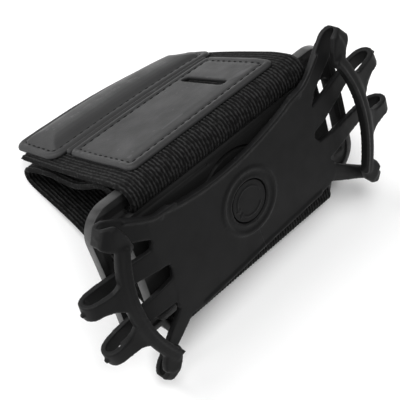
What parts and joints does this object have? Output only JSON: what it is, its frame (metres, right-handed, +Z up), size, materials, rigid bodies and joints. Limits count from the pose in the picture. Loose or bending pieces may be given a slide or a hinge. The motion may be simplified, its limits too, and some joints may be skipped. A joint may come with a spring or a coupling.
{
  "type": "phone mount",
  "caption": "Forearm or wrist band phone mount: arched plastic plate, turning silicone harness with hooked corner straps and finger loops, elastic webbing loop with padded pull tab.",
  "frame": {"origin": "centre of the footprint box, on the floor the webbing loop stands on", "axes": "+X along the plate's long side, +Y away from the phone side towards the fold of the loop, +Z up; the plate leans back 36.8 degrees from upright"},
  "size_m": [0.1418, 0.0982, 0.0651],
  "materials": {
    "frame_plastic": "fine matt black ABS",
    "hub_plastic": "matt black acetal",
    "washer_plastic": "natural nylon",
    "hub_steel": "plain stainless",
    "silicone": "matt black silicone with a soft sheen",
    "webbing": "black ribbed elastic webbing",
    "fastener_pile": "black hook and loop pile",
    "panel_leather": "smooth black imitation leather",
    "foam": "soft foam",
    "thread": "black sewing thread"
  },
  "bodies": {
    "frame": {"frame_plate": "frame_plastic", "friction_washer": "washer_plastic", "back_cover": "frame_plastic", "band_loop": "webbing", "band_seams": "thread", "loop_patch": "fastener_pile"},
    "harness": {"harness_sheet": "silicone", "swivel_rotor": "hub_plastic", "retaining_ring": "hub_steel", "rotor_screws": "hub_steel"},
    "button": {"release_button": "silicone", "latch_plunger": "hub_plastic"},
    "grip_left": {"left_grip": "silicone"},
    "grip_right": {"right_grip": "silicone"},
    "flap": {"band_flap": "webbing", "hook_patch": "fastener_pile", "near_panel": "panel_leather", "far_panel": "panel_leather", "panel_foam": "foam", "seam_strip": "panel_leather", "near_stitching": "thread", "far_stitching": "thread"}
  },
  "joints": [
    {"name": "harness_swivel", "type": "hinge", "parent": "frame", "child": "harness", "pos_m": [0, -0.01985, 0.02933], "axis": [0, -0.8007, 0.599], "continuous": true},
    {"name": "button_press", "type": "slide", "parent": "harness", "child": "button", "axis": [0, 0.8007, -0.599], "range_m": [0, 0.001], "stiffness_N_per_m": 400},
    {"name": "left_stretch", "type": "slide", "parent": "harness", "child": "grip_left", "axis": [-0.9981, -0.0366, -0.0489], "range_m": [0, 0.018], "stiffness_N_per_m": 150},
    {"name": "right_stretch", "type": "slide", "parent": "harness", "child": "grip_right", "axis": [0.9981, 0.0366, 0.0489], "range_m": [0, 0.018], "stiffness_N_per_m": 150},
    {"name": "flap_peel", "type": "hinge", "parent": "frame", "child": "flap", "pos_m": [0, 0.00073, 0.05183], "axis": [1, 0, 0], "range_deg": [0, 80]}
  ]
}
